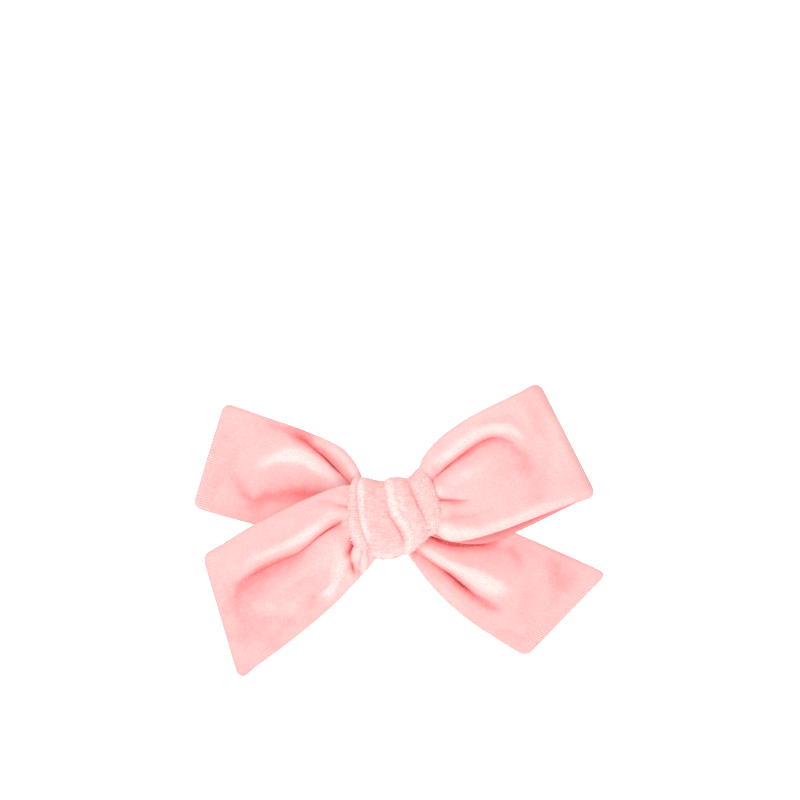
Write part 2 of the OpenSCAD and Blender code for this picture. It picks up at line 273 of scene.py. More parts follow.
def shell(name, grid, half, uv, fields=None, tail_end=False, calm=1.0):
    """A closed strip: the grid thickened by half on each side, its edges meeting in seams.

    calm fades the hollows that the material sees, and so the shade and highlight that it paints from them.
    """
    rows, cols = grid.shape[:2]
    sign = front_sign(grid)
    normal = grid_normals(blur(grid, 2)) * sign
    fine, broad = (v * calm for v in hollowness(grid, normal))
    fields = {"fine": (fine, -fine), "broad": (broad, -broad), **(fields or {})}
    thick = normal * half[..., None]
    f_id = np.arange(rows * cols).reshape(rows, cols)
    b_id = f_id + rows * cols
    b_id[:, [0, -1]] = f_id[:, [0, -1]]
    if tail_end:
        b_id[-1] = f_id[-1]
    faces = quads(f_id) + quads(b_id, -1) + quads(np.stack([b_id[0], f_id[0]]))
    if not tail_end:
        faces += quads(np.stack([f_id[-1], b_id[-1]]))
    faces = [f[::sign] for f in faces if len(f) > 2]
    return two_sided(name, grid + thick, grid - thick, faces, uv, fields)


# -------- the bow's four petals
# Each petal: its edges from the knot outwards, its folds, and strokes of painted light on its pile:
# painted shade where they are positive, painted highlight where negative, among them a shadow that a loop
# casts. Folds and strokes are given as fold_push takes them.
UPPER_RIGHT = {
    "top": [(2.5, 7.5), (7.2, 13.4), (9, 17.4), (13.8, 22.7), (20.8, 27.6), (29.5, 32.1), (37.3, 35.8),
            (41.2, 37.6)],
    "bottom": [(6, -2.6), (12.2, -4.5), (16.5, -6.4), (21.6, -5.9), (29.5, -3.7), (37.3, -0.8),
               (46.8, 2.7), (57, 6.4)],
    "rear_bottom": [(6, -3), (12.2, -5.9), (20.7, -7.7), (27.5, -7.2), (33.4, -5), (38.3, -2.8),
                    (47.2, 1.6), (57, 6.4)],
    "folds": [
        ([(9.5, 7.5), (14.9, 13.9), (19.6, 18), (25.5, 21.6), (29.5, 22.2), (33.2, 20.4), (35.2, 16.5)],
          2.5, 1.9, 3.4),
        ([(11.5, 14), (16.5, 17.8), (24, 23.4), (29.5, 25), (34.6, 23.4), (38.5, 18)], -1, 1.7, 1.8),
        ([(11, 5.3), (16, 4.9), (22.6, 5.4)], 1.4, 1.1, 1.5, 0, 0.5),
        ([(11, 8.8), (19, 12.2), (29, 14.5)], -1.1, 3.4, 3.6, 0.1, 0.5),
        ([(12, -2.6), (20, -4), (30, -1.4), (40, 2.8), (49, 6.2)], -1.1, 2.4, 2.6, 0.1),
        ([(14, 1.4), (22, 0.9), (31, 4.2)], 0.8, 2.4, 2.4, 0.2, 0.5),
        ([(36, 5), (40.5, 12), (38, 20)], 0.35, 6, 6, 0.4, 0.4),
    ],
    "nap": [
        ([(12, -4), (20, -4.9), (30, -2.6), (42, 2.2), (54, 6.8)], -0.5, 1.6, 1.2, 0, 0),
        ([(15, 15.6), (22.5, 21.6), (29.5, 24.4), (34.5, 23.2)], -0.45, 0.9, 0.9),
        ([(17, 15.5), (25, 21), (30, 22)], 0.6, 1, 2),
        ([(31, 22), (35.5, 17.5), (38, 12), (38.5, 6)], 0.6, 3.6, 5.5, 0.35, 0.5),
        ([(14, 20), (24, 27.6), (34, 32.5)], -0.4, 2.4, 2.4),
        ([(43, 30), (46, 21), (50, 10)], -0.45, 5, 5, 0.2, 0.2),
        ([(11.4, 11.2), (16.6, 14.7), (19.9, 17.2), (24.9, 20.1)], 1.5, 0.5, 0.6, 0.05, 0.6),
        ([(12.3, 5.3), (16, 5.5), (19, 5.8)], 1.2, 0.5, 0.6, 0, 0.5),
        ([(13, 5), (19, 4.4), (27, 5.6)], 0.7, 1.2, 2, 0, 0.6),
        ([(12.2, 11.6), (14.9, 13.7), (17.6, 15.8)], 1.9, 0.4, 0.45, 0.3, 0.5),
    ],
}
LOWER_LEFT = {
    "top": [(-5.5, 6.5), (-11.9, 8.7), (-16.4, 8.1), (-24.3, 5), (-32.2, 1.2), (-38.8, -2.1),
            (-44, -5.1), (-53.3, -11.2)],
    "bottom": [(-1, -7), (-4.8, -11.3), (-7.4, -14.6), (-15.2, -22.9), (-20.4, -27.7), (-28.2, -34.1),
               (-36.1, -40.1), (-43.2, -45.4)],
    "folds": [
        ([(-12, 0.6), (-16, -1.9), (-20.4, -5.1), (-26.2, -9.8), (-32.2, -12.5), (-38.4, -15.7),
          (-42.8, -19.6), (-43.9, -25.1)], 2.2, 3.2, 1.8),
        ([(-13, 3), (-18, -0.3), (-25.5, -5.6), (-34.5, -9.6), (-42, -13.1)], -0.7, 1.7, 1.7),
        ([(-12.5, -5.5), (-20, -12), (-30, -19), (-37, -27)], -1.2, 4.2, 4.2),
        ([(-9.6, -5.5), (-12, -10.8), (-9.8, -16.5)], 2.2, 1.2, 1.5, 0, 0.3),
        ([(-10, -12), (-16, -16.8), (-23, -23), (-31, -31)], 1.2, 2.4, 2.4, 0.1, 0.5),
        ([(-9.9, -8), (-9.9, -13), (-10.4, -18.4)], -0.45, 0.55, 0.55, 0.2, 0.5),
        ([(-9, -8), (-9, -13), (-9.2, -17.4)], 0.55, 0.45, 0.45, 0.2, 0.5),
        ([(-8.1, -8), (-8.1, -12.6), (-8.2, -16.6)], -0.4, 0.55, 0.55, 0.2, 0.5),
        ([(-7.2, -8), (-7.1, -12), (-7.2, -15.4)], 0.45, 0.45, 0.45, 0.2, 0.5),
        ([(-22, -21.5), (-32, -24.6), (-41, -24)], -0.5, 3, 3, 0.4, 0.4),
    ],
    "nap": [
        ([(-13, 2.4), (-20, -2.4), (-28, -6.6), (-36, -10.4), (-44, -14.4)], -0.3, 1, 1),
        ([(-13.6, -9), (-15, -15), (-18, -20), (-24, -24)], -1.2, 1.8, 2, 0.3, 0.4),
        ([(-28, -12.5), (-38, -17), (-43, -23), (-42, -32)], 0.65, 3.4, 3.4, 0.4, 0.5),
        ([(-20, -22), (-31, -25.5), (-41, -24.5)], -0.45, 2.2, 2.2, 0.4, 0.4),
        ([(-17.5, 0.6), (-15.4, 2), (-13, 3.4)], 0.5, 1.3, 1.3, 0.4, 0),
        ([(-22, -9), (-29, -14.5), (-33, -20)], 0.15, 4.5, 3, 0.4, 0.4),
        ([(-20, -9), (-28, -18), (-36, -28), (-41, -38)], 0.55, 9, 8, 0.3, 0.2),
        ([(-13.5, -0.3), (-16.7, -2.6), (-21.3, -5.5), (-26.2, -9.2)], 1.6, 0.6, 0.5, 0.1, 0.6),
        ([(-11.2, -5.8), (-12.4, -8.4), (-14, -11.4)], 2.8, 0.8, 0.9, 0, 0.4),
        ([(-16, -2.2), (-19, -4.3), (-22.5, -6.9)], 1.9, 0.5, 0.5, 0.2, 0.5),
        ([(-22.5, -18), (-25, -20.7), (-27, -23.5)], -0.55, 2.4, 2.4),
        ([(-32, -29), (-35, -32)], -0.3, 3, 3),
        ([(-10.8, -12), (-10.5, -14.6), (-10.2, -17.4)], 0.9, 0.8, 0.8, 0.3, 0.3),
    ],
}
UPPER_LEFT = {
    "top": [(-4, 6.5), (-8.3, 9.5), (-9.9, 12.6), (-11.5, 15.7), (-14.2, 18.9), (-18.4, 21.3),
            (-23.1, 23.4), (-29.4, 25.8), (-36.9, 28.3), (-48, 32.2)],
    "bottom": [(-6.5, -3.5), (-13, -4.2), (-22, -4.9), (-31, -4.4), (-39.2, -2.6), (-43.5, -1.5),
               (-48.3, -0.2), (-57.1, 2.3)],
    "folds": [
        ([(-8, 4.5), (-12.9, 9.4), (-16.8, 13.2), (-21.1, 17.7), (-26.3, 21.6), (-32.2, 23.6)], 2.8, 2.6,
          1.5, 0.15, 0.6),
        ([(-10, 4), (-14, 8.6), (-20.4, 13.6), (-26.5, 16.2), (-33.2, 16), (-41, 12.4)], -1.4, 3, 2.8,
          0.15, 0.6),
        ([(-11, 1), (-19, 5.2), (-25.9, 6.6), (-33, 5.4), (-39.2, 4.2), (-44, 8.5), (-46, 13)], 1.3, 3.4,
          3, 0.15, 0.4),
        ([(-9, 9.5), (-13, 15.5), (-18, 19.4), (-26, 23.4)], -1, 1.4, 1.4, 0.15, 0.5),
    ],
    "nap": [
        ([(-14, 9.6), (-20.4, 13.8), (-26.9, 16.8), (-34, 15.6), (-44, 11.6)], -1.25, 1.4, 2.5, 0.15, 0.5),
        ([(-10.6, 7.7), (-13.9, 11), (-18, 15.1), (-22.9, 20.1)], 2.2, 0.6, 0.6, 0.05, 0.6),
        ([(-30, 24), (-42, 22), (-48, 12), (-50, 4)], 0.3, 7, 7, 0.3, 0.3),
        ([(-47, 22), (-45, 25), (-43, 28)], -0.35, 3, 3),
        ([(-14, 10.9), (-19, 16.8), (-24.6, 21.2), (-32, 24.2)], 1.35, 2, 2.3, 0.15, 0.35),
        ([(-22, 20.2), (-27, 23.2), (-31.5, 24.8), (-36, 26.2)], 0.7, 1.6, 1.4, 0.3, 0.4),
        ([(-30, 7), (-26.4, 5.8), (-22.4, 5.6), (-18, 7.2)], 1.1, 1.5, 1.5, 0.4, 0.4),
        ([(-20, 6.2), (-30, 6), (-39, 4.6), (-43.5, 9), (-45, 15)], 0.75, 3, 3, 0.3, 0.5),
        ([(-14.4, 11.6), (-17.5, 14.6), (-21.5, 18.7)], 2.2, 0.45, 0.5, 0.3, 0.5),
        ([(-15.4, 11.2), (-13.4, 9.2), (-12, 7.4)], 0.8, 1.3, 1.3, 0.2, 0),
    ],
}
LOWER_RIGHT = {
    "top": [(6, 0.5), (12, 1), (19, 0.8), (26, -1.4), (34.2, -4.6), (39.3, -6.8), (45.2, -9.4),
            (51.1, -12), (60.8, -16.4)],
    "bottom": [(-1, -5.5), (3.4, -9.6), (6.3, -13.8), (11.4, -20.2), (17.7, -26.5), (22, -30.1),
               (29.5, -35.1), (37.8, -40.3)],
    "folds": [
        ([(2.5, -7), (5.9, -9.8), (11.8, -13.4), (15.7, -16.1), (19.6, -19.3), (25.5, -24),
          (32.6, -27.9)], 2.5, 2.8, 1.9, 0.1, 0.5),
        ([(5, -6.5), (12, -11.4), (15.7, -13.6), (24, -17.2), (31, -19.8)], -1.1, 2, 2),
        ([(4, -10.5), (9, -16), (15, -21.5), (24, -29)], -1, 2.4, 2.6, 0.1),
        ([(8, -3), (18, -6), (28, -9), (36, -12.5)], 0.9, 3, 3, 0.15, 0.4),
        ([(44, -14), (47.5, -17.5), (46.5, -22)], 0.25, 5, 5, 0.4, 0.4),
    ],
    "nap": [
        ([(8, -8.6), (16, -13.2), (24, -16.8), (31, -20), (37, -24)], -0.85, 1.2, 2.4, 0.15, 0.4),
        ([(12, -14), (19, -19.8), (26, -24.6), (33, -28)], 0.95, 1.9, 2.2, 0.15, 0.35),
        ([(20, -16.2), (26, -19.2), (34, -22.6)], -0.7, 2.4, 2.4, 0.3, 0.4),
        ([(6.7, -10), (12.1, -13.7), (16.6, -17), (20.7, -21.1), (24.9, -24)], 2.2, 0.8, 1, 0.3,
          0.4),
        # A painted shadow under the upper right loop, along the tail's top edge.
        ([(10, -5.4), (14, -7.7), (20, -8.4), (28, -8), (33, -6.6)], 1.7, 0.9, 0.9, 0.05, 0.5),
        ([(9, -5), (13, -6.6), (20, -8.2), (28, -8.4), (35, -6.6)], 1.2, 1.6, 2.2, 0.1, 0.6),
        ([(31, -7.5), (34, -10), (35.6, -14), (35, -18)], 0.65, 2.4, 2, 0.3, 0.5),
        ([(38.4, -11), (40.3, -16), (40, -21)], -0.35, 1.8, 1.8, 0.3, 0.4),
        ([(42, -10), (45.5, -14), (46.6, -19), (44, -25)], 0.5, 3.2, 3, 0.35, 0.5),
        ([(13.6, -14.8), (17, -17.5), (21, -21.2)], 1.8, 0.45, 0.5, 0.3, 0.4),
    ],
}


def sheet_rows(spec, bottom, rows):
    """Rows of a strip in its own plane, the shares across it, and its width at the outer end."""
    a, b = smooth_line(spec["top"], rows), smooth_line(bottom, rows)
    width = np.linalg.norm(a[-1] - b[-1])
    share = seam_rows(width)
    return a[:, None] + (b - a)[:, None] * share[None, :, None], share, width


def out_of(plan):
    """Unit vector in the bow's plane, square to the outer end and away from the knot."""
    end = plan[-1, -1] - plan[-1, 0]
    out = np.array([-end[1], end[0]]) / np.linalg.norm(end)
    return out if out @ (plan[-1].mean(0) - plan[0].mean(0)) > 0 else -out


def round_corners(plan, share, width, inset=0.0, reach=14.0):
    """Draws the outer end in by "inset", and more near both edges, so that its corners are round.

    Each column ends earlier along its own line, over the last "reach" of it, and keeps its course.
    """
    q = np.clip(1 - from_edge(share, width) / CORNER_R, 0, 1)
    cuts = inset + CORNER_R * (1 - np.sqrt(np.maximum(1 - q * q, 0)))
    out = plan.copy()
    for c, cut in enumerate(cuts):
        run = run_along(plan[:, c])
        at = run - cut * ease(run, run[-1] - reach, run[-1])
        out[:, c] = resampled(plan[:, c], run, at)
    return out


def pleats(plan, along, seed):
    """Fine gathers that fan out of the knot and die away before the middle of the length."""
    angle = np.arctan2(plan[..., 1], plan[..., 0])
    wave = np.sin(angle * 17 + seed) + 0.6 * np.sin(angle * 29 + 2.1 * seed)
    return 0.26 * wave * (1 - ease(along, 0.1, 0.42))


def settled(grid, free, cap=0.32, grow=0.035, frames=18, coarse=3, scale=10):
    """The strip after a cloth simulation with a little more cloth than it has room for.

    Its rims are held, so that it wrinkles between them, and a point moves at most "cap"
    millimetres times its share in "free". It runs on every third point, at ten times the size,
    where the solver is steady.
    """
    rows, cols = (np.unique(np.r_[0:n:coarse, n - 1]) for n in grid.shape[:2])
    rest = grid[np.ix_(rows, cols)]
    ids = np.arange(rest[..., 0].size).reshape(rest.shape[:2])
    obj = new_object("cloth_rehearsal", rest.reshape(-1, 3) * scale, quads(ids))
    rim = np.concatenate([ids[:3].ravel(), ids[-2:].ravel(), ids[:, 0], ids[:, -1]])
    held = obj.vertex_groups.new(name=CLOTH["vertex_group_mass"])
    held.add(np.unique(rim).tolist(), 1.0, "REPLACE")
    cloth = obj.modifiers.new("cloth", "CLOTH")
    for key, value in CLOTH.items():
        setattr(cloth.settings, key, value)
    cloth.settings.shrink_min = -grow
    cloth.settings.effector_weights.gravity = 0
    cloth.point_cache.frame_start, cloth.point_cache.frame_end = 1, frames
    for frame_number in range(1, frames + 1):
        bpy.context.scene.frame_set(frame_number)
    mesh = obj.evaluated_get(bpy.context.evaluated_depsgraph_get()).to_mesh()
    place = np.empty(len(mesh.vertices) * 3)
    mesh.vertices.foreach_get("co", place)
    bpy.data.objects.remove(obj)
    bpy.context.scene.frame_set(1)
    moved = place.reshape(rest.shape) / (MM * scale) - rest
    far = np.maximum(np.linalg.norm(moved, axis=-1, keepdims=True), 1e-9)
    moved = moved / far * cap * np.tanh(far / cap)
    full = resampled(moved, rows, np.arange(grid.shape[0])).swapaxes(0, 1)
    full = resampled(full, cols, np.arange(grid.shape[1])).swapaxes(0, 1)
    return grid + blur(full, 3) * free[..., None]


def tail_piece(name, spec, seed):
    rows = 118
    plan, share, width = sheet_rows(spec, spec["bottom"], rows)
    plan = round_corners(plan, share, width)
    s = np.linspace(0, 1, rows)
    seam = SEAM_R / TAIL_LENGTH
    kept = np.concatenate([s[s < 1 - seam], 1 - SEAM_STEPS[::-1] * seam])
    plan = resampled(plan, s, kept)
    along, across = np.broadcast_arrays(kept[:, None], share[None])
    back = fold_depth(plan, spec["folds"]) + pleats(plan, along, seed)
    crown = 1.2 * np.sin(math.pi * across) * np.sin(math.pi * np.clip(along, 0, 1)) ** 0.7
    wave = 0.55 * noise(plan, 26, seed) * ease(along, 0.3, 0.9)
    y = mix(TAIL_Y, TAIL_END_Y, ease(along, 0.1, 1)) - crown + back * ease(along, 0.03, 0.2) + wave
    grid = np.stack([plan[..., 0], y, plan[..., 1]], axis=-1)
    d_edge, d_end = from_edge(across, width), (1 - along) * TAIL_LENGTH
    half = mix(1.25, 0.95, ease(along, 0, 0.5)) * seam_round(d_edge) * seam_round(d_end)
    uv = np.stack([along * TAIL_CLOTH, across * width], axis=-1)
    grid = settled(grid, ease(d_edge, 1, 6) * ease(d_end, 1, 6))
    strokes = -fold_depth(plan, spec["nap"])
    fields = {"nap": (strokes, 0 * strokes), "outer": (along, along)}
    return shell(name, grid, half, uv, fields, tail_end=True)


def loop_piece(name, spec, seed):
    """A loop: its front leg, the turn at its outer end and its rear leg, as one strip."""
    rows, fold_rows = 112, 18
    front, share, width = sheet_rows(spec, spec["bottom"], rows)
    rear = sheet_rows(spec, spec.get("rear_bottom", spec["bottom"]), rows)[0]
    out = out_of(front)
    front = round_corners(front, share, width, LOOP_INSET)
    rear = round_corners(rear, share, width, LOOP_INSET)
    s = np.linspace(0, 1, rows)
    along, across = np.broadcast_arrays(s[:, None], share[None])

    def leg(plan, start_y, end_y, puff, fold_share):
        back = fold_depth(plan, spec["folds"]) * fold_share + pleats(plan, along, seed)
        back = back * ease(along, 0.03, 0.2) * ease(1 - along, 0.0, 0.12)
        wave = 0.5 * noise(plan, 24, seed) * ease(along, 0.3, 0.7) * ease(1 - along, 0, 0.2)
        bulge = puff * np.sin(math.pi * across) ** 0.7 * np.sin(math.pi * along)
        y = mix(start_y, end_y, along) - bulge + back + wave
        return np.stack([plan[..., 0], y, plan[..., 1]], axis=-1)

    front_grid = leg(front, LOOP_FRONT_Y, LOOP_END_Y, 2.6, 1)
    rear_share = mix(0.9, 0.15, ease(along, 0.1, 0.7))
    rear_grid = leg(rear, LOOP_REAR_Y, LOOP_END_Y + 2 * FOLD_R, -0.5, rear_share)
    ahead = front[-1] - front[-4]
    ahead = ahead / (ahead @ out)[:, None]
    ahead = np.stack([ahead[:, 0], 0 * ahead[:, 0], ahead[:, 1]], axis=-1)
    turns = np.linspace(0, math.pi, fold_rows + 2)[1:-1]
    middle = (front_grid[-1] + rear_grid[-1]) / 2
    reach = (rear_grid[-1] - front_grid[-1]) / 2
    bend = [middle - reach * math.cos(t) + ahead * FOLD_R * math.sin(t) for t in turns]
    grid = np.concatenate([front_grid, bend, rear_grid[::-1]])
    legs = s * LEG_LENGTH
    path = np.concatenate([legs, LEG_LENGTH + turns * FOLD_R, LEG_LENGTH + math.pi * FOLD_R + legs])
    outer = np.concatenate([s, np.ones(fold_rows), s[::-1]])[:, None]
    path, outer, across = np.broadcast_arrays(path[:, None], outer, share[None])
    d_edge = from_edge(across, width)
    half = mix(1.2, 0.95, ease(outer, 0, 0.5)) * seam_round(d_edge)
    uv = np.stack([path, across * width], axis=-1)
    grid = settled(grid, ease(d_edge, 1, 6) * ease(1 - outer, 0, 0.12))
    strokes = -fold_depth(grid[..., [0, 2]], spec["nap"])
    # Behind the turn, the rear leg's inner face, which shows below the front leg, is painted darker as
    # shade.
    on_front = (np.arange(len(grid)) < rows + fold_rows / 2)[:, None]
    shaded = -0.9 * (1 - on_front) * np.ones_like(strokes)
    fields = {"nap": (strokes * on_front, shaded), "outer": (0.9 * outer, 0.9 * outer)}
    return shell(name, grid, half, uv, fields, calm=1 - ease(outer, 0.88, 1))


PETALS = {
    "upper_right_loop": (loop_piece, UPPER_RIGHT),
    "lower_left_loop": (loop_piece, LOWER_LEFT),
    "upper_left_tail": (tail_piece, UPPER_LEFT),
    "lower_right_tail": (tail_piece, LOWER_RIGHT),
}
petals = {
    node: make("velvet_" + node, spec, seed)
    for seed, (node, (make, spec)) in enumerate(PETALS.items(), 1)
}


# -------- the knot
def leant(x, y, up):
    """Points given in the knot's own axes, in the bow's."""
    across = x * math.cos(LEAN) - up * math.sin(LEAN)
    height = x * math.sin(LEAN) + up * math.cos(LEAN)
    return np.stack(np.broadcast_arrays(across, y, height), axis=-1)


# Lines down the front of the wrap, from left to right: the height of each over the mean surface,
# and its (x, z) points from the top edge to the bottom edge.
WRAP_LINES = [
    (-0.9, [(-9.9, 11.6), (-11.5, 8.8), (-12.1, 3.5), (-12, -2.6), (-11, -6.6), (-9.1, -10.4)]),
    (0.25, [(-9.5, 11.6), (-10.8, 8.6), (-11.2, 3.3), (-10.9, -2.4), (-9.8, -6.4), (-7.8, -10.5)]),
    (-0.45, [(-9.1, 11.1), (-9.8, 8.2), (-9.8, 4), (-9, -1.2), (-7.4, -5.8), (-5.5, -10.4)]),
    (0.85, [(-8.6, 10.8), (-9.1, 7.6), (-9, 3.6), (-8, -1.6), (-6.2, -6.4), (-4.4, -11.2)]),
    (0.3, [(-5.2, 10.3), (-5.2, 6.6), (-4.6, 2.2), (-3.6, -2.4), (-2.2, -6.8), (-0.8, -11.9)]),
    (-0.45, [(-2.2, 10.2), (-1.8, 6.6), (-0.6, 1), (1.6, -2.8), (3, -6), (3.3, -10.5)]),
    (0.9, [(-0.9, 10.6), (-0.6, 6.6), (0.9, 1.6), (3.3, -2), (4.7, -5.2), (4.6, -9.6)]),
    (0.25, [(0.6, 10.9), (0.8, 7), (2.1, 2.2), (4.4, -1.2), (5.8, -4.4), (5.9, -8.8)]),
    (0.7, [(1.7, 10.8), (2, 7.2), (3.2, 2.6), (5.4, -1.2), (6.8, -4), (7.2, -7.7)]),
    (-0.5, [(3.8, 10.6), (5.6, 7), (7.2, 3), (8.9, -0.2), (9.8, -2.2), (9.6, -5.2)]),
    (0.55, [(5.5, 11.5), (7.3, 8), (8.8, 4.4), (10.2, 1), (11, -1.4), (11, -4.4)]),
    (0.35, [(7, 13.4), (9.2, 9.8), (10.8, 5.8), (12, 2.2), (12.6, -0.8), (12.4, -3.7)]),
    (-0.9, [(7.9, 14.2), (10.1, 10.9), (11.8, 7.1), (12.9, 3), (13.5, -0.4), (13.2, -3.2)]),
]
# Strokes of painted highlight (where negative) and painted shade (where positive) on the wrap's front,
# given as fold_push takes them.
WRAP_PAINTED_LIGHT = [
    ([(-9.1, 10.8), (-8.7, 5.5), (-8.3, 0.1), (-7.2, -3.9), (-5.9, -8.2)], -0.9, 0.5, 0.5, 0, 0.2),
    ([(-1.3, 10), (-0.2, 5.5), (1.3, 1.2), (3.8, -2.6), (5.1, -6.3), (5.3, -8.7)], -0.8, 1.1, 1.3, 0,
      0.1),
    ([(3.9, 10.6), (5.9, 6), (7.8, 2.3), (9.4, -1.2), (10.2, -3.6)], 1.2, 0.7, 0.9, 0.2, 0.2),
    ([(-3, 4.4), (-1.6, 1.2), (0.6, -1.5), (2.5, -4.7), (3.5, -7.9)], 0.9, 1, 0.7, 0.4, 0.2),
    ([(-9.9, 8.6), (-9.4, 3.2), (-8.6, -1.8), (-7, -5.6), (-5.2, -9.5)], 0.9, 0.5, 0.4, 0.2, 0.1),
    ([(10.4, -0.6), (12.2, -1.6), (13.2, -2.4)], -0.6, 1.6, 1.6, 0.2, 0.1),
]


def between_lines(values, cols, rounded=False):
    """Values on the wrap's lines spread over columns; rounded keeps valleys sharp, ridges full."""
    at = np.linspace(0, len(values) - 1, cols)
    k = np.minimum(at.astype(int), len(values) - 2)
    q = (at - k).reshape(-1, *[1] * (values.ndim - 1))
    a, b = values[k], values[k + 1]
    if rounded:
        rise = np.sqrt(np.maximum(1 - (1 - q) ** 2, 0))
        drop = 1 - np.sqrt(np.maximum(1 - q**2, 0))
        q = 0.55 * np.where(b > a, rise, drop) + 0.45 * ease(q)
    return mix(a, b, q)


def knot_piece(around=236, cols=145, lap=41):
    """The pleated wrap, with the grid and normals of its outer skin, from the top round the front.

    The ring is smoothed with "lap" of its rows repeated past either end, so that no join shows.
    """
    lines = np.stack([smooth_line(p, 101) for _, p in WRAP_LINES])
    heights = np.array([[h] for h, _ in WRAP_LINES], float)
    paths = between_lines(lines, cols).transpose(1, 0, 2)
    height = between_lines(heights, cols, rounded=True)[:, 0]
    angle = turn_angles(around)
    r = squarish(angle, WRAP_POWER)
    up, out = r * np.cos(angle), r * np.sin(angle)
    at = (1 - (1 - WRAP_HALF / WRAP_RISE) * up) / 2 * (len(paths) - 1)
    low_row = at.astype(int)
    front = mix(paths[low_row], paths[low_row + 1], (at - low_row)[:, None, None])
    top, bottom = front[0], front[around // 2]
    back = mix(bottom[None], top[None], ((up + 1) / 2)[:, None, None])
    xz = np.where((out >= 0)[:, None, None], front, back)
    lift = height[None] + 0.1225 * noise(xz, 6.5, 11)
    xz[..., 1] += 0.5 * lift * up[:, None]
    y = KNOT_Y - (6.1 + (out >= 0)[:, None] * lift) * out[:, None]
    overlap = (ease(up, -0.97, -0.9) - ease(up, -0.56, -0.5)) * (out < 0)
    y = np.minimum(y, -7.9) + 0.4 * overlap[:, None]
    grid = np.stack([xz[..., 0], y, xz[..., 1]], axis=-1)
    ring = blur(np.concatenate([grid[-lap:], grid, grid[: lap + 1]]), 1)
    sign = front_sign(ring)
    normals = grid_normals(ring) * sign
    fine, broad = (v[lap:-lap][:-1] for v in hollowness(ring, normals))
    ring, normals = ring[lap:-lap], normals[lap:-lap]
    place = np.linspace(0, 1, cols)
    span = np.linalg.norm(np.diff(ring, axis=1), axis=-1).sum(1)
    half = WRAP_HALF * seam_round(from_edge(place[None], span[:, None]), WRAP_HALF)
    ring, normals, half = ring[:-1], normals[:-1], half[:-1, :, None]
    skin, inside = ring + normals * half, ring - normals * half
    ids = np.arange(around * cols).reshape(around, cols)
    o_id = np.concatenate([ids, ids[:1]])
    i_id = o_id + around * cols
    i_id[:, [0, -1]] = o_id[:, [0, -1]]
    run = np.linspace(0, 62, around, endpoint=False)
    uv = np.stack(np.broadcast_arrays(run[:, None], place[None] * 24), axis=-1)
    # Paler towards the top and bottom rims, most at the bottom.
    rim = ease(np.abs(up), 0.72, 0.98)[:, None] + 0 * place
    nap = rim * mix(0.1, 0.75, ease(-up, -0.2, 0.2))[:, None] + 0.06
    nap = nap - fold_depth(ring[..., [0, 2]], WRAP_PAINTED_LIGHT) * ease(out, 0, 0.7)[:, None]
    faces = quads(o_id, sign) + quads(i_id, -sign)
    # The wrap's hollows and ridges take 1.7 times the painted shade and highlight of the petals'.
    obj = two_sided("velvet_knot_wrap", skin, inside, faces, uv, {
        "fine": (1.7 * fine, -1.7 * fine),
        "broad": (broad, -broad),
        "nap": (nap, 0 * nap),
        "outer": np.full((2, *nap.shape), 0.847),
    })
    return obj, skin, normals


knot, KNOT_SKIN, KNOT_NORMALS = knot_piece()


# -------- what the knot and clip hide
def closed_rings(rings):
    """Vertices and faces of a skin over closed rings, (rings, points, 3), with capped ends."""
    count, around = rings.shape[:2]
    ids = np.arange(count * around).reshape(count, around)
    ids = np.concatenate([ids, ids[:, :1]], axis=1)
    verts = [*rings.reshape(-1, 3), rings[0].mean(0), rings[-1].mean(0)]
    first, last = len(verts) - 2, len(verts) - 1
    faces = quads(ids)
    for a, b, c, d in zip(ids[0, 1:], ids[0], ids[-1], ids[-1, 1:]):
        faces += [(int(a), int(b), first), (int(c), int(d), last)]
    return verts, faces


def joined(name, skins, fields=None):
    """One object from several skins, with its faces pointing outwards."""
    verts, faces = [], []
    for skin_verts, skin_faces in skins:
        faces += [tuple(i + len(verts) for i in face) for face in skin_faces]
        verts += skin_verts
    obj = new_object(name, verts, faces, fields=fields)
    work = bmesh.new()
    work.from_mesh(obj.data)
    bmesh.ops.recalc_face_normals(work, faces=work.faces)
    work.to_mesh(obj.data)
    work.free()
    return obj


def waist_piece():
    """The middle of the strip, gathered into pleats and pinched by its thread."""
    angle = turn_angles(168)
    r = squarish(angle, WAIST_POWER)
    rings = []
    for x in np.linspace(-10.8, 11.6, 80):
        pinch = 1 - 0.16 * math.exp(-((x / 2.4) ** 2))
        folds = 0.35 + 0.035 * abs(x)
        lobes = folds * (0.65 * np.sin(13 * angle + 0.05 * x) + 0.35 * np.sin(22 * angle + 1.3))
        y = KNOT_Y - (5.1 * pinch * r + lobes * 0.8) * np.cos(angle)
        up = (8.7 * pinch * r + lobes * 0.8) * np.sin(angle)
        # The wrap leans less than its lower rim, so the ends rise to stay inside it.
        up *= 1 - 0.36 * ease(abs(x), 4, 10.5) * ease(-np.sin(angle), 0, 0.6)
        rings.append(leant(x, y, up))
    return joined("velvet_gathered_waist", [closed_rings(np.array(rings))])


def square_to(line):
    """Two unit vectors square to a line and to each other, at each of its points."""
    run = np.gradient(line, axis=0)
    run /= np.linalg.norm(run, axis=1)[:, None]
    side = np.cross(run, [0.31, 0.2, 0.93])
    side /= np.linalg.norm(side, axis=1)[:, None]
    return side, np.cross(run, side)


def tube(centres, side, rise, radii, sides):
    """The skin of a round tube, with a radius for each of its centres."""
    a = turn_angles(sides)[None, :, None]
    around = np.cos(a) * side[:, None] + np.sin(a) * rise[:, None]
    return closed_rings(centres[:, None] + radii[:, None, None] * around)


